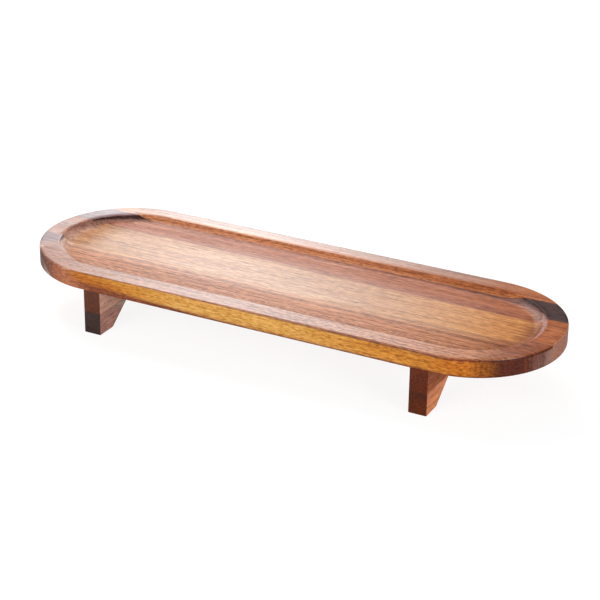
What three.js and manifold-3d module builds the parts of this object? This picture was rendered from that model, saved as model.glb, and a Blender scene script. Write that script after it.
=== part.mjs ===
// A footed serving board in oiled acacia. Five staves are glued edge to edge into a panel with
// round ends and a shallow coved recess, and the panel stands on two low bridge-shaped legs.
// Each leg is a rail across the board with a foot block glued under each of its ends, and two
// countersunk wood screws hold the rail to the panel from below.
// Millimetres, +X along the board, +Y to its back, +Z up; the origin is on the table, under the
// centre of the board.
import * as THREE from "three";
import { mergeVertices } from "three/addons/utils/BufferGeometryUtils.js";
import Module from "manifold-3d";

// The panel. Its width is the sum of its staves, and its round ends are half circles.
const BOARD_LENGTH = 500;
const BOARD_THICKNESS = 17;
const BOARD_EDGE_RADIUS = 1.6;

// The staves' widths, from the front edge of the board to its back edge.
const FRONT_STAVE_WIDTH = 34.5;
const RED_STAVE_WIDTH = 29;
const GOLDEN_STAVE_WIDTH = 44.3;
const DARK_STAVE_WIDTH = 31.7;
const BACK_STAVE_WIDTH = 23.5;

// The recess: a flat rim, a small round where the rim turns down, and a cove down to the floor.
const RIM_WIDTH = 17.2;
const RIM_EDGE_RADIUS = 1;
const RECESS_DEPTH = 5.5;
const COVE_RADIUS = 16;

// The legs. The setback runs from the end of the board to the middle of the leg, and the inset
// from the long edge of the board to the end of the leg.
const LEG_THICKNESS = 16.6;
const LEG_SETBACK = 92.3;
const LEG_INSET = 0.8;
const LEG_EASE = 0.8;
const RAIL_HEIGHT = 20.5;
const FOOT_HEIGHT = 20.5;
const FOOT_LENGTH = 20.6;
const FOOT_SLOPE_DEGREES = 37;

// The screws. The bite is how far they reach into the panel.
const SCREW_SPACING = 24;
const SCREW_DIAMETER = 4;
const SCREW_HEAD_DIAMETER = 8;
const SCREW_HEAD_LIP = 0.4;
const SCREW_HEAD_SINK = 0.5;
const SCREW_BITE = 8;
const SCREW_TIP_LENGTH = 3.5;
const SCREW_CLEARANCE = 0.3;
const DRIVE_SPAN = 4.6;
const DRIVE_SLOT_WIDTH = 1.1;
const DRIVE_DEPTH = 1.6;

// How finely the round shapes are cut into facets.
const END_STEPS = 20;
const EDGE_STEPS = 3;
const COVE_STEPS = 7;
const SCREW_STEPS = 24;

// Sizes that follow from the ones above.
const boardWidth =
  FRONT_STAVE_WIDTH + RED_STAVE_WIDTH + GOLDEN_STAVE_WIDTH + DARK_STAVE_WIDTH + BACK_STAVE_WIDTH;
const endCentreX = (BOARD_LENGTH - boardWidth) / 2;
const legHeight = FOOT_HEIGHT + RAIL_HEIGHT;
const legX = BOARD_LENGTH / 2 - LEG_SETBACK;
const legHalfLength = boardHalfWidthAt(legX + LEG_THICKNESS / 2) - LEG_INSET;
const footTopLength = FOOT_LENGTH + FOOT_HEIGHT / Math.tan(THREE.MathUtils.degToRad(FOOT_SLOPE_DEGREES));
const screwLength = RAIL_HEIGHT - SCREW_HEAD_SINK + SCREW_BITE;
const headHeight = SCREW_HEAD_LIP + (SCREW_HEAD_DIAMETER - SCREW_DIAMETER) / 2;

const wasm = await Module();
wasm.setup();

// Half the board's width at a distance x along it from the centre.
function boardHalfWidthAt(x) {
  const pastStraight = Math.max(0, Math.abs(x) - endCentreX);
  return Math.sqrt((boardWidth / 2) ** 2 - pastStraight ** 2);
}

// A closed three.js geometry as a solid that can be joined and cut.
function solidOf(geometry) {
  geometry.deleteAttribute("normal");
  geometry.deleteAttribute("uv");
  const merged = mergeVertices(geometry);
  const mesh = new wasm.Mesh({
    numProp: 3,
    vertProperties: merged.attributes.position.array,
    triVerts: Uint32Array.from(merged.index.array),
  });
  return new wasm.Manifold(mesh);
}

// A named mesh in the scene, from a solid and its material.
function meshOf(name, solid, material) {
  const { vertProperties, triVerts } = solid.getMesh();
  const geometry = new THREE.BufferGeometry();
  geometry.setAttribute("position", new THREE.BufferAttribute(vertProperties, 3));
  geometry.setIndex(new THREE.BufferAttribute(triVerts, 1));
  geometry.computeVertexNormals();
  const mesh = new THREE.Mesh(geometry, material);
  mesh.name = name;
  return mesh;
}

// A straight prism: a closed outline in X and Y, from one height to another.
function prism(points, bottom, top) {
  const geometry = new THREE.ExtrudeGeometry(new THREE.Shape(points), {
    depth: top - bottom,
    bevelEnabled: false,
  });
  geometry.translate(0, 0, bottom);
  return solidOf(geometry);
}

// A box between two corners.
function box(low, high) {
  const corners = [
    new THREE.Vector2(low.x, low.y),
    new THREE.Vector2(high.x, low.y),
    new THREE.Vector2(high.x, high.y),
    new THREE.Vector2(low.x, high.y),
  ];
  return prism(corners, low.z, high.z);
}

// Points along an arc, both ends included; angles run from +X towards +Y.
function arcPoints(centreX, centreY, radius, startAngle, endAngle, steps) {
  const clockwise = endAngle < startAngle;
  const arc = new THREE.EllipseCurve(centreX, centreY, radius, radius, startAngle, endAngle, clockwise);
  return arc.getPoints(steps);
}

// One ring round the board at a distance in from its outline.
function outlineRing(inset) {
  const radius = boardWidth / 2 - inset;
  const path = new THREE.Path();
  path.absarc(endCentreX, 0, radius, -Math.PI / 2, Math.PI / 2);
  path.absarc(-endCentreX, 0, radius, Math.PI / 2, Math.PI * 1.5);
  return path.getPoints(END_STEPS);
}

// The board's section from the underside, round the outer edge, over the rim and down the cove to
// the floor. A point's x is its distance in from the outline, and its y is its height.
function boardSection() {
  const edge = BOARD_EDGE_RADIUS;
  const top = BOARD_THICKNESS;
  const floor = top - RECESS_DEPTH;
  const reach = COVE_RADIUS + RIM_EDGE_RADIUS;
  const drop = floor + COVE_RADIUS - (top - RIM_EDGE_RADIUS);
  const coveAngle = Math.acos(drop / reach);
  const coveCentreInset = RIM_WIDTH + reach * Math.sin(coveAngle);
  const rightAngle = Math.PI / 2;
  return [
    ...arcPoints(edge, edge, edge, 3 * rightAngle, 2 * rightAngle, EDGE_STEPS),
    ...arcPoints(edge, top - edge, edge, 2 * rightAngle, rightAngle, EDGE_STEPS),
    ...arcPoints(
      RIM_WIDTH,
      top - RIM_EDGE_RADIUS,
      RIM_EDGE_RADIUS,
      rightAngle,
      rightAngle - coveAngle,
      EDGE_STEPS,
    ),
    ...arcPoints(
      coveCentreInset,
      floor + COVE_RADIUS,
      COVE_RADIUS,
      3 * rightAngle - coveAngle,
      3 * rightAngle,
      COVE_STEPS,
    ).slice(1),
  ];
}

// The whole panel before it is seen as staves: its section carried round the outline, closed by
// the flat underside and the flat floor of the recess.
function panelBlank() {
  const section = boardSection();
  const rings = section.map((point) => outlineRing(point.x));
  const ringSize = rings[0].length;
  const positions = [];
  const triangles = [];
  rings.forEach((ring, level) => {
    ring.forEach((point) => positions.push(point.x, point.y, section[level].y));
  });
  for (let level = 0; level < rings.length - 1; level += 1) {
    for (let step = 0; step < ringSize; step += 1) {
      const here = level * ringSize + step;
      const next = level * ringSize + ((step + 1) % ringSize);
      triangles.push(here, next, next + ringSize);
      triangles.push(here, next + ringSize, here + ringSize);
    }
  }
  const floorStart = (rings.length - 1) * ringSize;
  for (const [a, b, c] of THREE.ShapeUtils.triangulateShape(rings[0], [])) {
    triangles.push(a, c, b);
  }
  for (const [a, b, c] of THREE.ShapeUtils.triangulateShape(rings.at(-1), [])) {
    triangles.push(floorStart + a, floorStart + b, floorStart + c);
  }
  const geometry = new THREE.BufferGeometry();
  geometry.setAttribute("position", new THREE.Float32BufferAttribute(positions, 3));
  geometry.setIndex(triangles);
  return solidOf(geometry);
}

// A screw standing on its head with its tip up, or its hole when it is given a clearance. The
// hole is open below the head, down to the face that the head is sunk into.
function screwBody(clearance) {
  const headRadius = SCREW_HEAD_DIAMETER / 2 + clearance;
  const shankRadius = SCREW_DIAMETER / 2 + clearance;
  const base = clearance > 0 ? -SCREW_HEAD_SINK - clearance : 0;
  const profile = [
    new THREE.Vector2(0, base),
    new THREE.Vector2(headRadius, base),
    new THREE.Vector2(headRadius, SCREW_HEAD_LIP),
    new THREE.Vector2(shankRadius, headHeight),
    new THREE.Vector2(shankRadius, screwLength - SCREW_TIP_LENGTH),
    new THREE.Vector2(0, screwLength + clearance),
  ];
  const geometry = new THREE.LatheGeometry(profile, SCREW_STEPS);
  geometry.rotateX(Math.PI / 2);
  return solidOf(geometry);
}

// The cross-shaped socket for a screwdriver, cut up into the head.
function driveSocket() {
  const long = DRIVE_SPAN / 2;
  const short = DRIVE_SLOT_WIDTH / 2;
  const lower = -SCREW_CLEARANCE;
  const alongX = box(new THREE.Vector3(-long, -short, lower), new THREE.Vector3(long, short, DRIVE_DEPTH));
  const alongY = box(new THREE.Vector3(-short, -long, lower), new THREE.Vector3(short, long, DRIVE_DEPTH));
  return alongX.add(alongY);
}

// The side view of a leg, Y across and Z up: two feet with sloping inner ends under a rail. It
// runs on above the rail, so that the top is cut square and only the other edges are eased.
function legOutline() {
  const footInner = legHalfLength - FOOT_LENGTH;
  const archHalf = legHalfLength - footTopLength;
  const above = legHeight + LEG_THICKNESS;
  return new THREE.Shape([
    new THREE.Vector2(-legHalfLength, 0),
    new THREE.Vector2(-footInner, 0),
    new THREE.Vector2(-archHalf, FOOT_HEIGHT),
    new THREE.Vector2(archHalf, FOOT_HEIGHT),
    new THREE.Vector2(footInner, 0),
    new THREE.Vector2(legHalfLength, 0),
    new THREE.Vector2(legHalfLength, above),
    new THREE.Vector2(-legHalfLength, above),
  ]);
}

// A leg in one piece, standing on the table with its middle over the origin.
function legBlank() {
  const geometry = new THREE.ExtrudeGeometry(legOutline(), {
    depth: LEG_THICKNESS - 2 * LEG_EASE,
    bevelThickness: LEG_EASE,
    bevelSize: LEG_EASE,
    bevelOffset: -LEG_EASE,
    bevelSegments: 1,
  });
  geometry.translate(0, 0, LEG_EASE - LEG_THICKNESS / 2);
  const acrossBoard = new THREE.Matrix4().makeBasis(
    new THREE.Vector3(0, 1, 0),
    new THREE.Vector3(0, 0, 1),
    new THREE.Vector3(1, 0, 0),
  );
  geometry.applyMatrix4(acrossBoard);
  return solidOf(geometry);
}

// What lies between two heights and two distances across the board, for cutting a leg apart.
function legSlice(nearY, farY, bottom, top) {
  const low = new THREE.Vector3(-LEG_THICKNESS, nearY, bottom);
  const high = new THREE.Vector3(LEG_THICKNESS, farY, top);
  return box(low, high);
}

// Oiled wood of one colour.
function oiledWood(colour) {
  return new THREE.MeshStandardMaterial({ color: colour, roughness: 0.45, metalness: 0 });
}

const goldenEdgeWood = oiledWood(0xb9752f);
const redWood = oiledWood(0xa8603f);
const goldenWood = oiledWood(0xc98d56);
const darkWood = oiledWood(0x6b4236);
const orangeWood = oiledWood(0xa85a2a);
const railWood = oiledWood(0x7a4632);
const footWood = oiledWood(0x8a5538);
const zincPlatedSteel = new THREE.MeshStandardMaterial({ color: 0xa9abae, roughness: 0.35, metalness: 1 });

const servingBoard = new THREE.Group();

// The panel: the blank is split along the glue lines, and the screws' holes go up into it.
const panel = new THREE.Group();
panel.position.z = legHeight;
const blank = panelBlank();
const screwHole = screwBody(SCREW_CLEARANCE);
const screwSpots = [
  { name: "front", y: -SCREW_SPACING / 2 },
  { name: "back", y: SCREW_SPACING / 2 },
];
const screwBase = FOOT_HEIGHT + SCREW_HEAD_SINK;
const staves = [
  { name: "stave_front", width: FRONT_STAVE_WIDTH, material: goldenEdgeWood },
  { name: "stave_red", width: RED_STAVE_WIDTH, material: redWood },
  { name: "stave_golden", width: GOLDEN_STAVE_WIDTH, material: goldenWood },
  { name: "stave_dark", width: DARK_STAVE_WIDTH, material: darkWood },
  { name: "stave_back", width: BACK_STAVE_WIDTH, material: orangeWood },
];
let nearEdge = -boardWidth / 2;
for (const stave of staves) {
  const farEdge = nearEdge + stave.width;
  const low = new THREE.Vector3(-BOARD_LENGTH, nearEdge, -BOARD_THICKNESS);
  const high = new THREE.Vector3(BOARD_LENGTH, farEdge, 2 * BOARD_THICKNESS);
  let wood = blank.intersect(box(low, high));
  for (const side of [-1, 1]) {
    for (const spot of screwSpots) {
      wood = wood.subtract(screwHole.translate([side * legX, spot.y, screwBase - legHeight]));
    }
  }
  panel.add(meshOf(stave.name, wood, stave.material));
  nearEdge = farEdge;
}
servingBoard.add(panel);

// The legs: each blank is split into its rail and its two foot blocks.
const leg = legBlank();
const wholeLength = 2 * legHalfLength;
let rail = leg.intersect(legSlice(-wholeLength, wholeLength, FOOT_HEIGHT, legHeight));
for (const spot of screwSpots) {
  rail = rail.subtract(screwHole.translate([0, spot.y, screwBase]));
}
const frontFoot = leg.intersect(legSlice(-wholeLength, 0, -FOOT_HEIGHT, FOOT_HEIGHT));
const backFoot = leg.intersect(legSlice(0, wholeLength, -FOOT_HEIGHT, FOOT_HEIGHT));
const screw = screwBody(0).subtract(driveSocket());
const legs = [
  { name: "leg_left", x: -legX },
  { name: "leg_right", x: legX },
];
for (const { name, x } of legs) {
  const group = new THREE.Group();
  group.position.x = x;
  group.add(meshOf(`${name}_rail`, rail, railWood));
  group.add(meshOf(`${name}_foot_front`, frontFoot, footWood));
  group.add(meshOf(`${name}_foot_back`, backFoot, footWood));
  for (const spot of screwSpots) {
    const fixing = meshOf(`${name}_screw_${spot.name}`, screw, zincPlatedSteel);
    fixing.position.set(0, spot.y, screwBase);
    group.add(fixing);
  }
  servingBoard.add(group);
}

export default servingBoard;
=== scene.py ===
"""The looks of a footed serving board in oiled acacia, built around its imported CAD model."""
import math
from collections import namedtuple

import bmesh
import bpy
from mathutils import Matrix, Vector


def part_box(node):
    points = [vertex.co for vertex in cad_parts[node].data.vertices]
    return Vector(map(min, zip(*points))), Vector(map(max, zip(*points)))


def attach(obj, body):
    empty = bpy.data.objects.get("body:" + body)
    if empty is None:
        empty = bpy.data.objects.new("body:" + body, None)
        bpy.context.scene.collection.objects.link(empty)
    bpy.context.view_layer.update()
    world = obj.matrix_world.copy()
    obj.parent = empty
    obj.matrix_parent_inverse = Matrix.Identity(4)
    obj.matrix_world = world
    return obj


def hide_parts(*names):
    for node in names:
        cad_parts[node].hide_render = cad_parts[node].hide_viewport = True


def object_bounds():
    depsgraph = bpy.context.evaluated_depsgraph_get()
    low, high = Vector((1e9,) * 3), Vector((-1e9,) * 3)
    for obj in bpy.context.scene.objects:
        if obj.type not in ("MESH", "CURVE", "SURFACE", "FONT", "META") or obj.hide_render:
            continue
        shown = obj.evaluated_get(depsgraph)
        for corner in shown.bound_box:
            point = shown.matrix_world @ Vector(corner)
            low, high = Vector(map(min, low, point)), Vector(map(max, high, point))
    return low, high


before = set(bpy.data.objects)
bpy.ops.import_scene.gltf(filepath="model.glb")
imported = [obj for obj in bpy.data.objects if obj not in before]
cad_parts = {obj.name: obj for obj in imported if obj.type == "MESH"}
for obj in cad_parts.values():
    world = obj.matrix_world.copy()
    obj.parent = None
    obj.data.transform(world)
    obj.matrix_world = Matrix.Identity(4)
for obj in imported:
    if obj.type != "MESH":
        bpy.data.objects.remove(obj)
cad_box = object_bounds()

# The panel: five acacia staves glued edge to edge, cut to a long board with half-round ends and
# routed out to a shallow recess. The cutter left a coved wall inside a flat rim, every arris was
# eased, and the whole was sanded flush and oiled, so each stave has its stretch of one section.
MILLIMETRE = 0.001
board_length = cad_box[1].x - cad_box[0].x
board_width = cad_box[1].y - cad_box[0].y
panel_top = cad_box[1].z
panel_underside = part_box("stave_golden")[0].z
leg_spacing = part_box("leg_right_screw_front")[1].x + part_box("leg_right_screw_front")[0].x
screw_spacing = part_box("leg_right_screw_back")[1].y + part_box("leg_right_screw_back")[0].y
screw_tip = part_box("leg_right_screw_front")[1].z
shank_radius = 2 * MILLIMETRE
screw_clearance = 0.3 * MILLIMETRE
sharp_angle = math.radians(35)

panel_sizes = {
    "Board Length": board_length,
    "Board Width": board_width,
    "Thickness": panel_top - panel_underside,
    "Underside Height": panel_underside,
    "Edge Radius": 1.6 * MILLIMETRE,
    "Rim Width": 17.2 * MILLIMETRE,
    "Rim Edge Radius": 1.0 * MILLIMETRE,
    "Recess Depth": 5.5 * MILLIMETRE,
    "Cove Radius": 16.0 * MILLIMETRE,
    "Leg Spacing": leg_spacing,
    "Screw Spacing": screw_spacing,
    "Pilot Hole Radius": shank_radius + screw_clearance,
    "Pilot Hole Depth": screw_tip + screw_clearance - panel_underside,
}
floor_height = panel_top - panel_sizes["Recess Depth"]
front_edge = -board_width / 2


class Value:
    """A socket of a node tree. Arithmetic on it adds Math nodes, and node() adds any other node."""

    def __init__(self, tree, socket=None):
        self.tree = tree
        self.socket = socket

    def node(self, kind, settings=None, inputs=None):
        made = self.tree.nodes.new(kind)
        for name, setting in (settings or {}).items():
            if name == "stops":
                self.set_stops(made.color_ramp, setting)
            elif name == "items":
                while len(made.index_switch_items) < setting:
                    made.index_switch_items.new()
            else:
                setattr(made, name, setting)
        for key, value in (inputs or {}).items():
            self.feed(self.pick(made.inputs, key), value)
        return Value(self.tree, made.outputs[0] if made.outputs else None)

    def set_stops(self, ramp, stops):
        while len(ramp.elements) < len(stops):
            ramp.elements.new(1)
        for element, (position, tone) in zip(ramp.elements, stops):
            element.position = position
            element.color = (*tone, 1)

    def pick(self, sockets, key):
        if isinstance(key, int):
            return sockets[key]
        return next(s for s in sockets if s.enabled and key in (s.identifier, s.name))

    def feed(self, socket, value):
        if isinstance(value, list):
            for each in value:
                self.tree.links.new(each.socket, socket)
        elif isinstance(value, Value):
            self.tree.links.new(value.socket, socket)
        elif socket.type == "RGBA":
            socket.default_value = (*value, 1)
        else:
            socket.default_value = value

    def output(self, key):
        return Value(self.tree, self.pick(self.socket.node.outputs, key))

    def math(self, operation, *terms):
        return self.node("ShaderNodeMath", {"operation": operation}, dict(enumerate(terms)))

    def __add__(self, other):
        return self.math("ADD", self, other)

    def __radd__(self, other):
        return self.math("ADD", other, self)

    def __sub__(self, other):
        return self.math("SUBTRACT", self, other)

    def __rsub__(self, other):
        return self.math("SUBTRACT", other, self)

    def __mul__(self, other):
        return self.math("MULTIPLY", self, other)

    def __rmul__(self, other):
        return self.math("MULTIPLY", other, self)

    def __truediv__(self, other):
        return self.math("DIVIDE", self, other)

    def __abs__(self):
        return self.math("ABSOLUTE", self)

    def lesser(self, other):
        return self.math("MINIMUM", self, other)

    def greater(self, other):
        return self.math("MAXIMUM", self, other)

    def above(self, other):
        return self.math("GREATER_THAN", self, other)

    def below(self, other):
        return self.math("LESS_THAN", self, other)

    def rise(self, low, high):
        """Nothing below low, one above high, and a smooth step between them."""
        limits = {"Value": self, "From Min": low, "From Max": high}
        return self.node("ShaderNodeMapRange", {"interpolation_type": "SMOOTHSTEP"}, limits)

    def vector(self, x, y, z):
        return self.node("ShaderNodeCombineXYZ", inputs={"X": x, "Y": y, "Z": z})

    def vector_math(self, operation, *terms):
        return self.node("ShaderNodeVectorMath", {"operation": operation}, dict(enumerate(terms)))

    def length(self, vector):
        return self.vector_math("LENGTH", vector).output("Value")

    def dot(self, first, second):
        return self.vector_math("DOT_PRODUCT", first, second).output("Value")

    def mix(self, share, first, second, blend="MIX"):
        settings = {"data_type": "RGBA", "blend_type": blend}
        mixed = self.node("ShaderNodeMix", settings, {"Factor": share, "A": first, "B": second})
        return mixed.output("Result_Color")


def screw_spots(start, given):
    """A point for each of the four screws, two to a leg."""
    spread = {
        "Size X": given("Leg Spacing"),
        "Size Y": given("Screw Spacing"),
        "Vertices X": 2,
        "Vertices Y": 2,
    }
    return start.node("GeometryNodeMeshGrid", inputs=spread)


def stave_tree():
    """A stave of the panel: the board's section swept round its outline, cut between two glue lines."""
    end_steps = 40
    edge_steps = 5
    cove_steps = 20
    ease = 0.35 * MILLIMETRE
    hair = 0.004 * MILLIMETRE
    weld = 0.015 * MILLIMETRE

    tree = bpy.data.node_groups.new("panel_stave", "GeometryNodeTree")
    for name in [*panel_sizes, "Near Edge", "Far Edge"]:
        tree.interface.new_socket(name=name, in_out="INPUT", socket_type="NodeSocketFloat")
    tree.interface.new_socket(name="Wood", in_out="INPUT", socket_type="NodeSocketMaterial")
    tree.interface.new_socket(name="Stave", in_out="OUTPUT", socket_type="NodeSocketGeometry")
    start = Value(tree)
    given = start.node("NodeGroupInput").output

    # The outline is a rectangle whose corners are rounded until its ends are half circles.
    width = given("Board Width")
    rectangle = {"Width": given("Board Length"), "Height": width}
    outline = start.node("GeometryNodeCurvePrimitiveQuadrilateral", inputs=rectangle)
    rounding = {"Curve": outline, "Count": end_steps, "Radius": width / 2 - hair}
    outline = start.node("GeometryNodeFilletCurve", {"mode": "POLY"}, rounding)

    # The section's corners, from the floor over the rim and down to the underside: how far each
    # is in from the outline, its height, and the radius and steps that round it. The corners with
    # no radius keep the flats flat up to the rounds.
    thickness = given("Thickness")
    floor = thickness - given("Recess Depth")
    edge = given("Edge Radius")
    rim = given("Rim Width")
    rim_edge = given("Rim Edge Radius")
    cove = given("Cove Radius")
    reach = cove + rim_edge
    slope = start.math("ARCCOSINE", (reach - given("Recess Depth")) / reach)
    half_tangent = start.math("TANGENT", slope / 2)
    cove_end = rim + reach * start.math("SINE", slope)
    corners = [
        (cove_end + ease, floor, 0, 1),
        (cove_end - cove * half_tangent, floor, cove, cove_steps),
        (rim + rim_edge * half_tangent, thickness, rim_edge, edge_steps),
        (rim - ease, thickness, 0, 1),
        (edge + ease, thickness, 0, 1),
        (0, thickness, edge, edge_steps),
        (0, thickness - edge - ease, 0, 1),
        (0, edge + ease, 0, 1),
        (0, 0, edge, edge_steps),
        (edge + ease, 0, 0, 1),
    ]
    index = start.node("GeometryNodeInputIndex")

    def by_corner(data_type, values):
        """Each corner's own value out of the list."""
        settings = {"data_type": data_type, "items": len(values)}
        inputs = {f"Item_{item}": value for item, value in enumerate(values)}
        return start.node("GeometryNodeIndexSwitch", settings, {"Index": index, **inputs})

    places = [start.vector(inset * -1, height * -1, 0) for inset, height, _, _ in corners]
    line = start.node("GeometryNodeMeshLine", inputs={"Count": len(corners)})
    section = start.node("GeometryNodeMeshToCurve", inputs={"Mesh": line})
    placed = {"Geometry": section, "Position": by_corner("VECTOR", places)}
    section = start.node("GeometryNodeSetPosition", inputs=placed)
    rounding = {
        "Curve": section,
        "Count": by_corner("INT", [steps for _, _, _, steps in corners]),
        "Radius": by_corner("FLOAT", [radius for _, _, radius, _ in corners]),
    }
    section = start.node("GeometryNodeFilletCurve", {"mode": "POLY"}, rounding)

    # The swept wall is open at the floor and at the underside, so both are filled.
    wall = start.node("GeometryNodeCurveToMesh", inputs={"Curve": outline, "Profile Curve": section})
    faces_at_edge = start.node("GeometryNodeInputMeshEdgeNeighbors")
    position = start.node("GeometryNodeInputPosition")
    height = start.node("ShaderNodeSeparateXYZ", inputs={"Vector": position}).output("Z")

    def filled(in_part, level):
        """A sheet across the wall's open edge in that part, moved to its level."""
        open_edges = {"Mesh": wall, "Selection": faces_at_edge.below(2) * in_part}
        loop = start.node("GeometryNodeMeshToCurve", inputs=open_edges)
        sheet = start.node("GeometryNodeFillCurve", {"mode": "NGONS"}, {"Curve": loop})
        moved = {"Geometry": sheet, "Translation": start.vector(0, 0, level)}
        return start.node("GeometryNodeTransform", inputs=moved)

    floor_sheet = filled(height.above(floor / 2), floor)
    underside = filled(height.below(floor / 2), 0)
    underside = start.node("GeometryNodeFlipFaces", inputs={"Mesh": underside})
    sheets = [wall, floor_sheet, underside]
    joined = start.node("GeometryNodeJoinGeometry", inputs={"Geometry": sheets})
    panel = start.node("GeometryNodeMergeByDistance", inputs={"Geometry": joined, "Distance": weld})

    # The stave is what lies between its two glue lines, less the pilot holes for the screws.
    near = given("Near Edge")
    far = given("Far Edge")
    slab_size = start.vector(given("Board Length") * 2, far - near, thickness * 4)
    slab = start.node("GeometryNodeMeshCube", inputs={"Size": slab_size})
    moved = {"Geometry": slab, "Translation": start.vector(0, (near + far) / 2, 0)}
    slab = start.node("GeometryNodeTransform", inputs=moved)
    cut = {"operation": "INTERSECT", "solver": "EXACT"}
    stave = start.node("GeometryNodeMeshBoolean", cut, {"Mesh 2": [panel, slab]})
    spots = screw_spots(start, given)
    bore = {"Radius": given("Pilot Hole Radius"), "Depth": given("Pilot Hole Depth") * 2}
    drill = start.node("GeometryNodeMeshCylinder", inputs=bore)
    holes = start.node("GeometryNodeInstanceOnPoints", inputs={"Points": spots, "Instance": drill})
    holes = start.node("GeometryNodeRealizeInstances", inputs={"Geometry": holes})
    cut = {"operation": "DIFFERENCE", "solver": "EXACT"}
    stave = start.node("GeometryNodeMeshBoolean", cut, {"Mesh 1": stave, "Mesh 2": [holes]})

    # Faces run on smoothly except over the sharp edges that the cuts leave.
    raised = {"Geometry": stave, "Translation": start.vector(0, 0, given("Underside Height"))}
    stave = start.node("GeometryNodeTransform", inputs=raised)
    stave = start.node("GeometryNodeSetShadeSmooth", {"domain": "FACE"}, {"Geometry": stave})
    angle = start.node("GeometryNodeInputMeshEdgeAngle")
    sharp = {"Geometry": stave, "Selection": angle.above(sharp_angle), "Shade Smooth": False}
    stave = start.node("GeometryNodeSetShadeSmooth", {"domain": "EDGE"}, sharp)
    stave = start.node("GeometryNodeRealizeInstances", inputs={"Geometry": stave})
    stave = start.node("GeometryNodeSetMaterial", inputs={"Geometry": stave, "Material": given("Wood")})
    start.node("NodeGroupOutput", inputs={"Stave": stave})
    return tree


def finish_modifiers(piece):
    """Turns a piece with modifiers into a plain mesh."""
    shown = piece.evaluated_get(bpy.context.evaluated_depsgraph_get())
    mesh = bpy.data.meshes.new_from_object(shown)
    mesh.name = piece.name
    piece.modifiers.clear()
    piece.data = mesh


def piece_from_tree(name, tree, inputs, pattern=None):
    """A plain mesh piece, worked out by a node tree from its named inputs and perhaps a pattern mesh."""
    piece = bpy.data.objects.new(name, pattern or bpy.data.meshes.new(name))
    bpy.context.scene.collection.objects.link(piece)
    modifier = piece.modifiers.new(tree.name, "NODES")
    modifier.node_group = tree
    for socket in tree.interface.items_tree:
        if socket.in_out == "INPUT" and socket.name in inputs:
            modifier[socket.identifier] = inputs[socket.name]
    finish_modifiers(piece)
    return piece


def colour(red, green, blue):
    """A colour in 0 to 255, as the linear one that a shader takes."""
    parts = [part / 255 for part in (red, green, blue)]
    return tuple(part / 12.92 if part < 0.04 else ((part + 0.055) / 1.055) ** 2.4 for part in parts)


def blank_material(name):
    """A material with an empty node tree, and the start of that tree."""
    material = bpy.data.materials.new(name)
    material.use_nodes = True
    material.node_tree.nodes.clear()
    return material, Value(material.node_tree)


Layer = namedtuple("Layer", "tones point direction soft waver")


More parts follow.
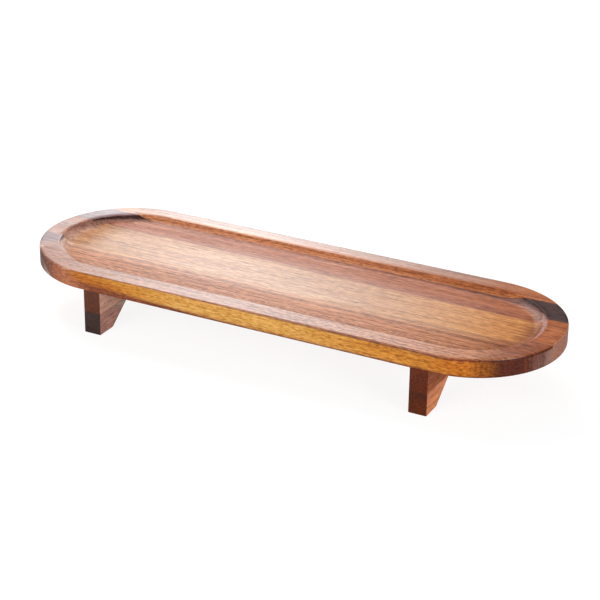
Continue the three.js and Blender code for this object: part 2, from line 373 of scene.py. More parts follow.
def acacia(name, grain, tones, seed, pith, layers=(), seams=(), looks=None):
    """Oiled acacia with its grain along X or Y.

    tones are its dark, middle and light wood. pith is where the rings centre, across the grain
    and up. A Layer is other wood that begins at a point and deepens along a direction, with an
    edge that is soft and wavers; some layers paint a highlight or shade instead of wood. seams are
    the axes that the glue lines lie square to, each with its place on that axis. looks sets how
    strong the stripes, flecks and ring lines are, what the end grain is darkened by, and how the
    film of oil lies: polished on the rim down to rim_depth and worn along its inner edge, dry at
    the left end, built up in the cove and handled away on the right.
    """
    usual = {
        "stripes": 0.2,
        "flecks": 0.5,
        "fleck_length": 8 * MILLIMETRE,
        "lines": 0.12,
        "end_tone": (0.3, 0.2, 0.16),
        "rim_polish": 0.85,
        "rim_depth": 0.2 * MILLIMETRE,
        "rim_worn": 0.1 * MILLIMETRE,
        "dry_end": 1,
        "cove_film": 0,
        "handled": 0.7,
    }
    looks = {**usual, **(looks or {})}
    material, start = blank_material(name)
    place = start.node("ShaderNodeTexCoord").output("Object")
    axes = start.node("ShaderNodeSeparateXYZ", inputs={"Vector": place}).output
    along, across = (axes("X"), axes("Y")) if grain == "X" else (axes("Y"), axes("X"))
    up = axes("Z")

    def marks(length, width, detail, first, second):
        """Soft random marks of that length along the grain and width across it, from 0 to 1."""
        stretched = start.vector(along / length + seed, first / width, second / width)
        look = {"Vector": stretched, "Scale": 1, "Detail": detail, "Roughness": 0.55}
        return start.node("ShaderNodeTexNoise", inputs=look)

    # The grain wanders a little, and the rings stand round the pith.
    wander = 4 * MILLIMETRE
    side = across + (marks(250 * MILLIMETRE, 50 * MILLIMETRE, 1, across, up) - 0.5) * wander
    rise = up + (marks(200 * MILLIMETRE, 40 * MILLIMETRE, 1, up, across) - 0.5) * wander
    ring = start.length(start.vector(side - pith[0], rise - pith[1], 0))
    band = marks(500 * MILLIMETRE, 14 * MILLIMETRE, 2, ring, up * 0)
    stripe = marks(220 * MILLIMETRE, 3.4 * MILLIMETRE, 2, ring, up * 0.1)
    ring_line = abs(marks(200 * MILLIMETRE, 6 * MILLIMETRE, 2, ring, up * 0.1) - 0.5)
    ring_line = 1 - ring_line.rise(0, 0.025)
    fleck = marks(looks["fleck_length"], 1.4 * MILLIMETRE, 2, side, rise)
    fibre = marks(60 * MILLIMETRE, 1.1 * MILLIMETRE, 2, side, rise)
    pore = marks(7 * MILLIMETRE, 0.4 * MILLIMETRE, 1, side, rise).rise(0.6, 0.7)
    blush = marks(60 * MILLIMETRE, 7 * MILLIMETRE, 2, side, rise).rise(0.42, 0.62)

    # The marks together say how light the wood is, in its own tones and in each layer's.
    bands = 0.2
    fibres = 0.35
    tone = (band - 0.5) * bands + (stripe - 0.5) * looks["stripes"] + 0.5
    tone = tone + (fleck - 0.5) * looks["flecks"] + (fibre - 0.5) * fibres
    tone_stops = (0.38, 0.5, 0.62)
    wood = start.node("ShaderNodeValToRGB", {"stops": list(zip(tone_stops, tones))}, {"Fac": tone})
    for layer in layers:
        offset = start.vector_math("SUBTRACT", place, layer.point)
        depth = start.dot(offset, layer.direction) + (band - 0.5) * layer.waver
        share = depth.rise(-layer.soft, layer.soft)
        ramp = {"stops": list(zip(tone_stops, layer.tones))}
        wood = start.mix(share, wood, start.node("ShaderNodeValToRGB", ramp, {"Fac": tone}))

    # Ring lines and pores are darker, and so are the end grain, which drinks the oil, and the
    # glue lines. Here and there the wood has a red blush.
    blush_tone = (1, 0.9, 0.84)
    line_tone = (0.5, 0.38, 0.32)
    pore_tone = (0.4, 0.3, 0.25)
    blush_share = 0.45
    pore_share = 0.45
    glue_share = 0.3
    glue_edges = (0.05 * MILLIMETRE, 0.3 * MILLIMETRE)
    square_on = (0.3, 0.7)
    loss_on_top = 0.75
    wood = start.mix(blush * blush_share, wood, blush_tone, "MULTIPLY")
    wood = start.mix(ring_line * looks["lines"], wood, line_tone, "MULTIPLY")
    wood = start.mix(pore * pore_share, wood, pore_tone, "MULTIPLY")
    normal = start.node("ShaderNodeNewGeometry").output("Normal")
    facing_up = start.dot(normal, (0, 0, 1)).rise(*square_on)
    end_grain = abs(start.dot(normal, (1, 0, 0) if grain == "X" else (0, 1, 0))).rise(*square_on)
    end_grain = end_grain * (1 - facing_up * loss_on_top)
    wood = start.mix(end_grain, wood, looks["end_tone"], "MULTIPLY")
    for seam_axis, seam in seams:
        glue = 1 - abs(axes(seam_axis) - seam).rise(*glue_edges)
        wood = start.mix(glue * glue_share, wood, pore_tone, "MULTIPLY")

    # The film of oil is thin all over. It is built up where the rim was polished, but not along its
    # worn inner edge, and where use has rubbed the middle of the floor. It has dried out at the
    # left end, has been handled away on the right and is broken at the pores.
    thin_film = 0.175
    rubbed_film = 0.32
    floor_middle = 4 * MILLIMETRE
    rubbed_reach = (14 * MILLIMETRE, 44 * MILLIMETRE)
    cove_reach = (0.3 * MILLIMETRE, 1.5 * MILLIMETRE)
    dry_reach = (-185 * MILLIMETRE, -222 * MILLIMETRE)
    handled_reach = (130 * MILLIMETRE, 230 * MILLIMETRE)
    rim_start = board_width / 2 - panel_sizes["Rim Width"]
    past_straight = (abs(axes("X")) - (board_length - board_width) / 2).greater(0)
    outward = start.length(start.vector(past_straight, axes("Y"), 0))
    rim = up.rise(panel_top - looks["rim_depth"], panel_top)
    rim = rim * outward.rise(rim_start, rim_start + looks["rim_worn"])
    above_floor = up.rise(floor_height, floor_height + MILLIMETRE)
    on_floor = up.rise(floor_height - MILLIMETRE, floor_height) - above_floor
    rubbed = facing_up * on_floor * (1 - abs(axes("Y") - floor_middle).rise(*rubbed_reach))
    dry_end = axes("X").rise(*dry_reach) * looks["dry_end"]
    in_cove = facing_up * up.rise(floor_height + cove_reach[0], floor_height + cove_reach[1])
    hollow = (rubbed * rubbed_film + thin_film) * (1 - dry_end) + in_cove * looks["cove_film"]
    handled = axes("X").rise(*handled_reach) * looks["handled"]
    film = (rim * (looks["rim_polish"] - hollow) + hollow) * (1 - handled)
    relief = fibre * 0.4 + fleck * 0.3 - pore * 0.8
    bump = {"Strength": 0.2, "Distance": 0.1 * MILLIMETRE, "Height": relief}
    surface = {
        "Base Color": wood,
        "Roughness": 0.5 + pore * 0.12 + end_grain * 0.08 + (stripe - 0.5) * 0.2,
        "IOR": 1.46,
        "Specular IOR Level": 0.05,
        "Coat Weight": (film * (1 + (fibre - 0.5) * 1.2 - pore * 0.4)).lesser(1),
        "Coat Roughness": 0.315,
        "Coat IOR": 1.85,
        "Normal": start.node("ShaderNodeBump", inputs=bump),
    }
    shader = start.node("ShaderNodeBsdfPrincipled", inputs=surface)
    start.node("ShaderNodeOutputMaterial", inputs={"Surface": shader})
    return material


golden_wood = (colour(142, 90, 52), colour(180, 123, 77), colour(204, 150, 100))
amber_wood = (colour(172, 104, 46), colour(212, 142, 76), colour(228, 168, 100))
sap_wood = (colour(160, 104, 40), colour(200, 145, 66), colour(216, 168, 92))
tawny_wood = (colour(146, 84, 24), colour(188, 121, 38), colour(206, 144, 58))
caramel_wood = (colour(124, 66, 14), colour(166, 94, 20), colour(188, 116, 36))
red_wood = (colour(136, 78, 50), colour(192, 122, 80), colour(214, 148, 104))
brown_wood = (colour(106, 60, 38), colour(152, 92, 56), colour(178, 116, 78))
dark_floor_wood = (colour(120, 64, 42), colour(170, 99, 67), colour(192, 124, 88))
mauve_wood = (colour(104, 70, 60), colour(146, 104, 92), colour(168, 126, 112))
# Grey-lilac wood, used only for a painted sheen of glare on the rim at the left end.
lilac_sheen_wood = (colour(106, 82, 84), colour(138, 108, 110), colour(158, 126, 126))
umber_wood = (colour(72, 42, 34), colour(112, 70, 58), colour(140, 96, 82))
# Near-white wood, used only for painted highlights where glare lies on the coves and the end sides.
pale_highlight_wood = (colour(214, 176, 158), colour(240, 210, 196), colour(246, 220, 208))
honey_wood = (colour(146, 90, 40), colour(182, 125, 60), colour(202, 150, 84))
# Grey-lavender wood, used only for painted highlights in the right cove and on the right end.
lavender_highlight_wood = (colour(140, 104, 98), colour(190, 150, 142), colour(208, 170, 162))
pink_wood = (colour(140, 98, 82), colour(186, 144, 126), colour(204, 164, 146))
heart_wood = (colour(42, 25, 25), colour(60, 38, 37), colour(92, 62, 56))
copper_wood = (colour(132, 64, 28), colour(178, 98, 48), colour(200, 122, 66))
orange_wood = (colour(122, 62, 32), colour(160, 90, 48), colour(184, 112, 68))
russet_wood = (colour(108, 58, 38), colour(156, 90, 58), colour(180, 114, 78))
rust_wood = (colour(80, 36, 18), colour(114, 55, 28), colour(142, 80, 44))

staves = [
    {
        "name": "stave_front",
        "slot": "acacia_front",
        "tones": sap_wood,
        "seed": 3.1,
        "pith": (0.02, 0.03),
        "layers": [
            # The long front edge
            Layer(tawny_wood, (-0.1, front_edge, 0.05), (-1, 0, 0), soft=0.03, waver=0.1),
            Layer(tawny_wood, (0.09, front_edge, 0.05), (1, 0, 0), soft=0.06, waver=0.1),
            Layer(honey_wood, (0, front_edge, 0.0448), (-0.01, 0, -1), soft=0.0022, waver=0.004),
            Layer(caramel_wood, (-0.136, front_edge, 0.05), (-1, 0, -2), soft=0.024, waver=0.05),
            Layer(rust_wood, (-0.1, front_edge, 0.0449), (-0.04, 0, -1), soft=0.002, waver=0.006),
            Layer(caramel_wood, (0.172, front_edge, 0.05), (1, 0, 0), soft=0.024, waver=0.03),
            # Painted shade along the top of the front face, just under its rounded edge.
            Layer(rust_wood, (0.03, front_edge, 0.0566), (0.006, 0, 1), soft=0.0008, waver=0.002),
            # Painted shade along the bottom of the front face and its lower rounded edge.
            Layer(rust_wood, (0.1, front_edge, 0.0427), (0, 0, -1), soft=0.0008, waver=0.002),
            # The floor and the left cove
            Layer(red_wood, (0, -0.062, floor_height), (0, 1, 0), soft=0.004, waver=0.01),
            # A painted highlight in the left cove of the front stave.
            Layer(pale_highlight_wood, (-0.196, -0.056, 0.0545), (-0.2, 0, 1), soft=0.0015, waver=0.002),
            # The rim
            Layer(brown_wood, (0, -0.078, 0.0574), (0, 0, 1), soft=0.0005, waver=0.0006),
            Layer(red_wood, (0.12, -0.078, 0.0579), (0.002, 0, 1), soft=0.0002, waver=0.0004),
            Layer(russet_wood, (0.207, -0.07, panel_top), (0.02, 0, 1), soft=0.0003, waver=0.0004),
            # The left end
            Layer(russet_wood, (-0.178, front_edge, 0.05), (-1, -0.8, -1), soft=0.014, waver=0.04),
            # A painted highlight low on the side of the left end.
            Layer(pale_highlight_wood, (-0.222, -0.06, 0.052), (-1, 0, -1.5), soft=0.004, waver=0.004),
        ],
        "looks": {
            "stripes": 0.15,
            "flecks": 0.6,
            "fleck_length": 5 * MILLIMETRE,
            "end_tone": (0.13, 0.06, 0.05),
            "rim_polish": 0.5,
            "rim_depth": 1.5 * MILLIMETRE,
            "dry_end": 0,
            "cove_film": 0.8,
            "handled": 0.35,
        },
    },
    {
        "name": "stave_red",
        "slot": "acacia_red",
        "tones": red_wood,
        "seed": 11.7,
        "pith": (-0.2, 0.03),
        "layers": [
            # The floor and the right end
            Layer(golden_wood, (0, -0.024, floor_height), (0, 1, 0), soft=0.012, waver=0.012),
            Layer(orange_wood, (0.2, -0.032, floor_height), (1, 0, 0), soft=0.02, waver=0.02),
            # A painted highlight on the side at the right end.
            Layer(lavender_highlight_wood, (0.2385, -0.032, 0.05), (1, 0, 0), soft=0.005, waver=0),
            # A painted highlight on the side at the right end, towards the golden stave.
            Layer(pale_highlight_wood, (0.245, -0.026, 0.05), (1, 0.6, 0), soft=0.007, waver=0.002),
            # The left cove and the rim
            # A painted highlight near the top of the left cove.
            Layer(pale_highlight_wood, (-0.225, -0.034, 0.0541), (-0.05, -0.05, 1), soft=0.0012, waver=0.001),
            Layer(russet_wood, (0, -0.032, 0.0565), (0.006, 0, 1), soft=0.0003, waver=0),
            # A painted sheen of glare on the rim at the left end.
            Layer(lilac_sheen_wood, (-0.232, -0.036, 0.0575), (-0.5, 0.7, 6), soft=0.008, waver=0.01),
        ],
        "looks": {
            "stripes": 0.4,
            "lines": 0.28,
            "end_tone": (0.25, 0.18, 0.16),
            "rim_polish": 0.6,
            "cove_film": 0.85,
            "dry_end": 0.4,
        },
    },
    {
        "name": "stave_golden",
        "slot": "acacia_golden",
        "tones": golden_wood,
        "seed": 23.9,
        "pith": (0.2, 0.02),
        "layers": [
            # The floor and the left end
            Layer(amber_wood, (0.12, 0.004, floor_height), (1, 0, 0), soft=0.09, waver=0.1),
            Layer(pink_wood, (-0.2235, 0.004, floor_height), (-1, 0, 2), soft=0.008, waver=0.01),
            Layer(mauve_wood, (-0.222, 0.02, 0.0535), (-0.3, 0.3, 1), soft=0.003, waver=0.003),
            # The right end and the rim
            Layer(orange_wood, (0.216, 0.004, floor_height), (1, 0, 0), soft=0.01, waver=0.01),
            # A painted highlight high in the right cove.
            Layer(lavender_highlight_wood, (0.226, 0.004, 0.0545), (0.1, 0, 1), soft=0.001, waver=0.001),
            Layer(pink_wood, (0.237, 0.004, 0.05), (1, 0, 0), soft=0.001, waver=0),
            Layer(copper_wood, (0, 0.004, 0.0579), (0.0009, 0, 1), soft=0.0004, waver=0.0006),
        ],
        "looks": {"stripes": 0.12, "end_tone": (0.53, 0.41, 0.37), "rim_worn": 4 * MILLIMETRE},
    },
    {
        "name": "stave_dark",
        "slot": "acacia_dark",
        "tones": dark_floor_wood,
        "seed": 37.3,
        "pith": (0.25, 0.03),
        "layers": [
            # The floor
            Layer(golden_wood, (0, 0.03, floor_height), (-0.03, -1, 0), soft=0.003, waver=0.012),
            Layer(orange_wood, (0.211, 0.026, floor_height), (1, 0.5, 0), soft=0.006, waver=0.006),
            # The cove at both ends and the rim
            Layer(mauve_wood, (0, 0.042, 0.0534), (0, 0, 1), soft=0.0004, waver=0.001),
            # Darker along the foot of the back wall towards the right: the dark heartwood, with painted
            # shade in that corner.
            Layer(umber_wood, (0.15, 0.056, 0.0529), (0.0136, 0.25, 1), soft=0.0006, waver=0.0015),
            # A painted highlight high in the right cove.
            Layer(lavender_highlight_wood, (0.222, 0.03, 0.0545), (0.1, -0.3, 1), soft=0.001, waver=0.001),
            Layer(heart_wood, (0, 0.045, 0.0557), (-0.003, 0.06, 1), soft=0.0009, waver=0.002),
            # A painted sheen of glare on the dark rim, strongest towards the left end.
            Layer(lilac_sheen_wood, (0, 0.042, panel_top), (-0.003, 0, 1), soft=0.0004, waver=0.0006),
        ],
        "looks": {
            "stripes": 0.14,
            "flecks": 0.42,
            "rim_depth": 0.05 * MILLIMETRE,
            "rim_worn": 6.5 * MILLIMETRE,
        },
    },
    {
        "name": "stave_back",
        "slot": "acacia_back",
        "tones": red_wood,
        "seed": 51.1,
        "pith": (0.2, 0.03),
        "layers": [
            Layer(orange_wood, (0.06, 0.07, 0.055), (1, 0, 0), soft=0.1, waver=0.05),
            Layer(brown_wood, (0, 0.07, panel_top), (0, 0.3, 1), soft=0.001, waver=0.001),
            Layer(copper_wood, (0.17, 0.07, panel_top), (0.01, 0, 1), soft=0.0004, waver=0.0006),
        ],
        "looks": {
            "stripes": 0.3,
            "lines": 0.2,
            "fleck_length": 5 * MILLIMETRE,
            "rim_worn": 5 * MILLIMETRE,
        },
    },
]
board_tree = stave_tree()
for stave in staves:
    low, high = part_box(stave["name"])
    woods = {key: value for key, value in stave.items() if key not in ("name", "slot")}
    seams = [edge for edge in (low.y, high.y) if abs(edge) < board_width / 2 - MILLIMETRE]
    wood = acacia(stave["slot"], "X", seams=[("Y", seam) for seam in seams], **woods)
    near = low.y if low.y in seams else -board_width
    far = high.y if high.y in seams else board_width
    inputs = {**panel_sizes, "Near Edge": near, "Far Edge": far, "Wood": wood}
    piece = piece_from_tree(stave["name"] + "_oiled", board_tree, inputs)
    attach(piece, "root")
    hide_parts(stave["name"])

# The rails: one across the board for each leg, a plain bar of brown acacia with its arrises eased.
# It is glued and screwed to the underside of the panel, and the screws go up through two
# countersunk holes in the middle of the bar.
leg_ease = 0.8 * MILLIMETRE
ease_steps = 3
head_radius = 4 * MILLIMETRE
head_lip = 0.4 * MILLIMETRE
head_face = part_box("leg_right_screw_front")[0].z
head_height = head_lip + head_radius - shank_radius
hole_steps = 32


def eased_block(name, low_x, high_x, side_view, is_eased):
    """A block with that outline in Y and Z, whose edges are rounded where is_eased says so."""
    shape = bmesh.new()
    ends = [[shape.verts.new((x, y, z)) for y, z in side_view] for x in (low_x, high_x)]
    shape.faces.new(ends[0])
    shape.faces.new(ends[1])
    for here in range(len(side_view)):
        shape.faces.new((ends[0][here - 1], ends[0][here], ends[1][here], ends[1][here - 1]))
    bmesh.ops.recalc_face_normals(shape, faces=shape.faces)
    edges = [e for e in shape.edges if is_eased((e.verts[0].co + e.verts[1].co) / 2)]
    rounding = {"offset": leg_ease, "segments": ease_steps, "profile": 0.5, "affect": "EDGES"}
    bmesh.ops.bevel(shape, geom=edges, **rounding)
    return piece_from_shape(name, shape)


def piece_from_shape(name, shape):
    """A piece of that mesh, smooth over its rounds and sharp at its corners."""
    for face in shape.faces:
        face.smooth = True
    for edge in shape.edges:
        edge.smooth = edge.calc_face_angle(0) < sharp_angle
    mesh = bpy.data.meshes.new(name)
    shape.to_mesh(mesh)
    shape.free()
    piece = bpy.data.objects.new(name, mesh)
    bpy.context.scene.collection.objects.link(piece)
    return piece


def plain(radius):
    """The same radius all the way round."""
    return lambda turn: radius


def turned_shape(rings, steps):
    """A closed round mesh on the Z axis. Each ring has a height and its radius at a part of a turn."""
    shape = bmesh.new()
    loops = []
    for height, radius in rings:
        loop = []
        for step in range(steps):
            turn = step / steps
            out = radius(turn)
            angle = math.tau * turn
            loop.append(shape.verts.new((out * math.cos(angle), out * math.sin(angle), height)))
        loops.append(loop)
    for lower, upper in zip(loops, loops[1:]):
        for step in range(steps):
            shape.faces.new((lower[step - 1], lower[step], upper[step], upper[step - 1]))
    shape.faces.new(reversed(loops[0]))
    shape.faces.new(loops[-1])
    return shape


def cut_away(piece, tool):
    """Cuts the tool's shape out of the piece, and takes the tool away."""
    cutting = piece.modifiers.new(tool.name, "BOOLEAN")
    cutting.operation = "DIFFERENCE"
    cutting.solver = "EXACT"
    cutting.object = tool
    finish_modifiers(piece)
    bpy.data.objects.remove(tool)


def flat_sides(piece):
    """Keeps the large faces flat in the light, with the bend in the small rounds alone."""
    weighting = piece.modifiers.new("flat_sides", "WEIGHTED_NORMAL")
    weighting.keep_sharp = True
    finish_modifiers(piece)


rails = [
    {
        "name": "leg_left_rail",
        "tones": (colour(146, 106, 90), colour(184, 141, 123), colour(200, 158, 140)),
        "seed": 61.3,
        "looks": {"flecks": 0.45, "lines": 0.1, "end_tone": (0.195, 0.09, 0.047)},
    },
    {
        "name": "leg_right_rail",
        "tones": (colour(94, 50, 28), colour(126, 68, 38), colour(152, 92, 58)),
        "seed": 68.3,
        "looks": {"flecks": 0.45, "lines": 0.1, "end_tone": (0.42, 0.235, 0.11)},
    },
]
arch_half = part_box("leg_left_foot_back")[0].y
for rail in rails:
    node = rail["name"]
    low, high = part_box(node)
    side_view = [
        (low.y, low.z),
        (-arch_half, low.z),
        (arch_half, low.z),
        (high.y, low.z),
        (high.y, high.z),
        (low.y, high.z),
    ]

    def at_end_or_arch(middle):
        upright = low.z + leg_ease < middle.z < high.z - leg_ease
        return upright or (middle.z < low.z + leg_ease and abs(middle.y) < leg_ease)

    piece = eased_block(node + "_oiled", low.x, high.x, side_view, at_end_or_arch)
    hole_rings = [
        (low.z - head_lip, plain(head_radius + screw_clearance)),
        (head_face + head_lip, plain(head_radius + screw_clearance)),
        (head_face + head_height, plain(shank_radius + screw_clearance)),
        (high.z + head_lip, plain(shank_radius + screw_clearance)),
    ]
    for screw_side in (-1, 1):
        shape = turned_shape(hole_rings, hole_steps)
        place = Vector(((low.x + high.x) / 2, screw_side * screw_spacing / 2, 0))
        bmesh.ops.translate(shape, verts=shape.verts, vec=place)
        cut_away(piece, piece_from_shape("drill", shape))
    flat_sides(piece)
    woods = {key: value for key, value in rail.items() if key != "name"}
    pith = ((low.x + high.x) / 2 + 20 * MILLIMETRE, low.z - 30 * MILLIMETRE)
    glue_lines = [("Z", low.z), ("Z", high.z)]
    piece.data.materials.clear()
    piece.data.materials.append(acacia(node + "_acacia", "Y", pith=pith, seams=glue_lines, **woods))
    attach(piece, "root")
    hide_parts(node)

# The foot blocks: one glued under each end of a rail, sawn off at a slope on the inside so that
# the leg stands as a low bridge. They are offcuts, so no two have the same colour.
foot_length = 20.6 * MILLIMETRE
ash_wood = (colour(134, 110, 98), colour(170, 145, 131), colour(186, 162, 148))
sand_wood = (colour(160, 98, 62), colour(197, 126, 84), colour(212, 142, 98))
left_foot_looks = {"flecks": 0.45, "lines": 0.1, "end_tone": (0.12, 0.125, 0.14)}
right_foot_looks = {"flecks": 0.45, "lines": 0.1, "end_tone": (0.17, 0.085, 0.03)}
feet = [
    {
        "name": "leg_left_foot_front",
        "tones": (colour(106, 74, 66), colour(150, 108, 97), colour(170, 128, 115)),
        "seed": 83.7,
        "layers": [
            Layer(ash_wood, (0, -0.055, 0.0172), (0, 0.3, 1), soft=0.003, waver=0.002),
        ],
        "looks": left_foot_looks,
    },
    {
        "name": "leg_left_foot_back",
        "tones": (colour(78, 46, 34), colour(140, 90, 66), colour(164, 112, 84)),
        "seed": 88.7,
        "looks": left_foot_looks,
    },
    {
        "name": "leg_right_foot_front",
        "tones": (colour(130, 80, 58), colour(164, 104, 76), colour(182, 120, 90)),
        "seed": 93.7,
        "layers": [
            Layer(sand_wood, (0, -0.07, 0.0155), (0, 0.1, -1), soft=0.005, waver=0.002),
        ],
        "looks": right_foot_looks,
    },
    {
        "name": "leg_right_foot_back",
        "tones": (colour(76, 44, 32), colour(140, 84, 58), colour(166, 106, 76)),
        "seed": 98.7,
        "looks": right_foot_looks,
    },
]
for foot in feet:
    node = foot["name"]
    low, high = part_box(node)
    outer, inner = (high.y, low.y) if high.y > 0 else (low.y, high.y)
    toe = outer + math.copysign(foot_length, inner - outer)
    side_view = [(outer, low.z), (toe, low.z), (inner, high.z), (outer, high.z)]

    def below_glue(middle):
        return middle.z < high.z - leg_ease

    piece = eased_block(node + "_oiled", low.x, high.x, side_view, below_glue)
    flat_sides(piece)
    woods = {key: value for key, value in foot.items() if key != "name"}
    pith = (low.x - 30 * MILLIMETRE, low.z - 10 * MILLIMETRE)
    glue_lines = [("Z", high.z)]
    piece.data.materials.append(acacia(node + "_acacia", "Y", pith=pith, seams=glue_lines, **woods))
    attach(piece, "root")
    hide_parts(node)

# The screws: four zinc-plated wood screws with countersunk heads and cross sockets, driven up
# through the rails into the panel. Their heads are sunk a little below the rail's face.
screw_length = screw_tip - head_face
head_bevel = 0.1 * MILLIMETRE
neck_radius = 0.8 * shank_radius
core_radius = 1.35 * MILLIMETRE
thread_pitch = 1.8 * MILLIMETRE
ridge_half_width = 0.25
thread_start = 10 * MILLIMETRE
tip_length = 3.5 * MILLIMETRE
point_radius = 0.12 * MILLIMETRE
screw_steps = 24
rings_per_pitch = 8
socket_span = 4.6 * MILLIMETRE
socket_slot = 1.1 * MILLIMETRE
socket_depth = 1.6 * MILLIMETRE


def threaded(height):
    """The screw's radius at a height, by the part of a turn: a sharp ridge that winds round its core."""
    taper = min(1, (screw_length - height) / tip_length)
    core = point_radius + (core_radius - point_radius) * taper
    ridge = (shank_radius - core_radius) * taper * min(1, (height - thread_start) / thread_pitch)

    def radius(turn):
        phase = (height / thread_pitch - turn) % 1
        return core + ridge * max(0, 1 - abs(phase - 0.5) / ridge_half_width)

    return radius


screw_rings = [
    (0, plain(head_radius - head_bevel)),
    (head_bevel, plain(head_radius)),
    (head_lip, plain(head_radius)),
    (head_height, plain(neck_radius)),
    (thread_start - thread_pitch / 2, plain(neck_radius)),
]
ring_count = round((screw_length - thread_start) / thread_pitch * rings_per_pitch)
for ring in range(ring_count + 1):
    height = thread_start + (screw_length - thread_start) * ring / ring_count
    screw_rings.append((height, threaded(height)))
screw = piece_from_shape("screw_pattern", turned_shape(screw_rings, screw_steps))
for slot_size in ((socket_span, socket_slot), (socket_slot, socket_span)):
    shape = bmesh.new()
    bmesh.ops.create_cube(shape, size=1)
    size = Vector((*slot_size, 2 * socket_depth))
    bmesh.ops.scale(shape, verts=shape.verts, vec=size)
    cut_away(screw, piece_from_shape("chisel", shape))


def screw_tree():
    """The screw that the tree is given, at each of the four spots, each turned by chance."""
    tree = bpy.data.node_groups.new("leg_screws", "GeometryNodeTree")
    tree.interface.new_socket(name="Screw", in_out="INPUT", socket_type="NodeSocketGeometry")
    for name in ("Leg Spacing", "Screw Spacing", "Head Height"):
        tree.interface.new_socket(name=name, in_out="INPUT", socket_type="NodeSocketFloat")
    tree.interface.new_socket(name="Metal", in_out="INPUT", socket_type="NodeSocketMaterial")
    tree.interface.new_socket(name="Screws", in_out="OUTPUT", socket_type="NodeSocketGeometry")
    start = Value(tree)
    given = start.node("NodeGroupInput").output
    spots = screw_spots(start, given)
    raised = {"Geometry": spots, "Translation": start.vector(0, 0, given("Head Height"))}
    spots = start.node("GeometryNodeTransform", inputs=raised)
    chance = {"Max": math.tau, "Seed": 4}
    turn = start.node("FunctionNodeRandomValue", {"data_type": "FLOAT"}, chance).output("Value")
    turn = start.node("FunctionNodeEulerToRotation", inputs={"Euler": start.vector(0, 0, turn)})
    placed = {"Points": spots, "Instance": given("Screw"), "Rotation": turn}
    screws = start.node("GeometryNodeInstanceOnPoints", inputs=placed)
    screws = start.node("GeometryNodeRealizeInstances", inputs={"Geometry": screws})
    plated = {"Geometry": screws, "Material": given("Metal")}
    screws = start.node("GeometryNodeSetMaterial", inputs=plated)
    start.node("NodeGroupOutput", inputs={"Screws": screws})
    return tree


def zinc_plate():
    """Bright zinc plating with a faint blue cast, dulled in patches and finely scratched."""
    material, start = blank_material("zinc_plate")
    place = start.node("ShaderNodeTexCoord").output("Object")
    patches = start.node("ShaderNodeTexNoise", inputs={"Vector": place, "Scale": 900, "Detail": 3})
    scratches = start.node("ShaderNodeTexNoise", inputs={"Vector": place, "Scale": 6000, "Detail": 2})
    shade = patches.rise(0.35, 0.65)
    bump = {"Strength": 0.1, "Distance": 0.05 * MILLIMETRE, "Height": scratches}
    surface = {
        "Base Color": start.mix(shade, colour(150, 154, 160), colour(196, 198, 200)),
        "Metallic": 1,
        "Roughness": 0.42 - shade * 0.16 + (scratches - 0.5) * 0.2,
        "Normal": start.node("ShaderNodeBump", inputs=bump),
    }
    shader = start.node("ShaderNodeBsdfPrincipled", inputs=surface)
    start.node("ShaderNodeOutputMaterial", inputs={"Surface": shader})
    return material


screw_inputs = {
    "Leg Spacing": leg_spacing,
    "Screw Spacing": screw_spacing,
    "Head Height": head_face,
    "Metal": zinc_plate(),
}
screws = piece_from_tree("leg_screws_zinc", screw_tree(), screw_inputs, screw.data)
bpy.data.objects.remove(screw)
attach(screws, "root")
sides = [f"leg_{side}_screw_{end}" for side in ("left", "right") for end in ("front", "back")]
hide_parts(*sides)

# The floor under the board: a wide white sheet. Most of what the camera sees of it is plain white,
# as on a floor lit from all sides, so the board's own soft shadow stays faint.
floor_size = 8
floor_white = (0.9, 0.9, 0.9)
seen_white = 1.15
seen_share = 0.75
floor_mesh = bpy.data.meshes.new("floor")
floor_shape = bmesh.new()
bmesh.ops.create_grid(floor_shape, x_segments=1, y_segments=1, size=floor_size / 2)
floor_shape.to_mesh(floor_mesh)
floor_shape.free()
floor = bpy.data.objects.new("floor", floor_mesh)
bpy.context.scene.collection.objects.link(floor)
floor_material, start = blank_material("floor_white")
seen = start.node("ShaderNodeLightPath").output("Is Camera Ray")
lit = start.node("ShaderNodeBsdfDiffuse", inputs={"Color": floor_white})
white = start.node("ShaderNodeEmission", inputs={"Color": (1, 1, 1), "Strength": seen_white})
sheet = start.node("ShaderNodeMixShader", inputs={0: seen * seen_share, 1: lit, 2: white})
start.node("ShaderNodeOutputMaterial", inputs={"Surface": sheet})
floor_mesh.materials.append(floor_material)

# The room: white to the eye, with a soft even light on the board. Its wall on the left and a strip
# of the horizon behind are white in reflections too, and the rest of the studio is a dark grey.
room_light = 0.22
studio_grey = 0.04
white_wall = (-0.9, -0.4, 0.1)
wall_edge = (0.2, 0.8)
pale_horizon = (-0.27, 0.96, -0.05)
horizon_edge = (0.93, 0.99)
world = bpy.data.worlds.new("white_room")
bpy.context.scene.world = world
world.use_nodes = True
world.node_tree.nodes.clear()
start = Value(world.node_tree)
path = start.node("ShaderNodeLightPath").output
direction = start.node("ShaderNodeTexCoord").output("Generated")
in_wall = start.dot(direction, white_wall).rise(*wall_edge)
pale = in_wall + start.dot(direction, pale_horizon).rise(*horizon_edge)
wall = pale * (1 - studio_grey) + studio_grey
mirrored = path("Is Glossy Ray").greater(path("Is Transmission Ray"))
unseen = (wall - room_light) * mirrored + room_light
strength = (1 - unseen) * path("Is Camera Ray") + unseen
backdrop = start.node("ShaderNodeBackground", inputs={"Color": (1, 1, 1), "Strength": strength})
start.node("ShaderNodeOutputWorld", inputs={"Surface": backdrop})

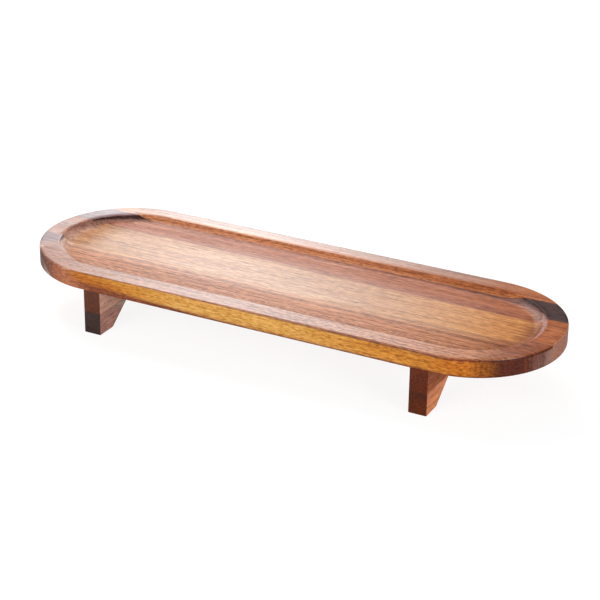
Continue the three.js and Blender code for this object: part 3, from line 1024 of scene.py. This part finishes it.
# The lamps: a long softbox behind on the left whose glare lies along the board, a large soft key
# in front, and a soft fill from the right.
lamps = [
    {"name": "softbox", "place": (-1.08, 1.045, 1.37), "size": (0.7, 1.8), "roll": -54, "watts": 38.6},
    {"name": "key", "place": (-0.5, -1.9, 0.75), "size": (1.2, 1.2), "roll": 0, "watts": 22},
    {"name": "fill", "place": (1.9, -0.75, 0.4), "size": (0.9, 0.7), "roll": 0, "watts": 32},
]
board_centre = Vector((0, 0, (panel_underside + panel_top) / 2))
for lamp in lamps:
    light = bpy.data.lights.new(lamp["name"], "AREA")
    light.shape = "RECTANGLE"
    light.size, light.size_y = lamp["size"]
    light.energy = lamp["watts"]
    holder = bpy.data.objects.new(lamp["name"], light)
    bpy.context.scene.collection.objects.link(holder)
    holder.location = lamp["place"]
    aim = (board_centre - holder.location).to_track_quat("-Z", "Y").to_matrix()
    turn = Matrix.Rotation(math.radians(lamp["roll"]), 3, "Z")
    holder.rotation_euler = (aim @ turn).to_euler()

# The camera: it stands where the photograph was taken from, above the board, in front and to its
# right. The lens is long, and its shift puts the board's centre at its place in the picture.
picture_width = 600
focal_pixels = 1848.7
board_pixel = (292.6, 285.7)
camera_azimuth = math.radians(27.39)
camera_elevation = math.radians(24.16)
camera_roll = 0.012
camera_distance = 1.6224
sensor_width = 36
lens = bpy.data.cameras.new("camera")
lens.sensor_width = sensor_width
lens.lens = sensor_width * focal_pixels / picture_width
lens.shift_x = (picture_width / 2 - board_pixel[0]) / picture_width
lens.shift_y = (board_pixel[1] - picture_width / 2) / picture_width
back = Vector((
    math.sin(camera_azimuth) * math.cos(camera_elevation),
    -math.cos(camera_azimuth) * math.cos(camera_elevation),
    math.sin(camera_elevation),
))
right = Vector((math.cos(camera_azimuth), math.sin(camera_azimuth), 0))
turn = Matrix((right, back.cross(right), back)).transposed().to_4x4()
camera = bpy.data.objects.new("camera", lens)
bpy.context.scene.collection.objects.link(camera)
stand = Matrix.Translation(board_centre + back * camera_distance)
camera.matrix_world = stand @ turn @ Matrix.Rotation(camera_roll, 4, "Z")
bpy.context.scene.camera = camera
bpy.context.scene.view_settings.view_transform = "Standard"
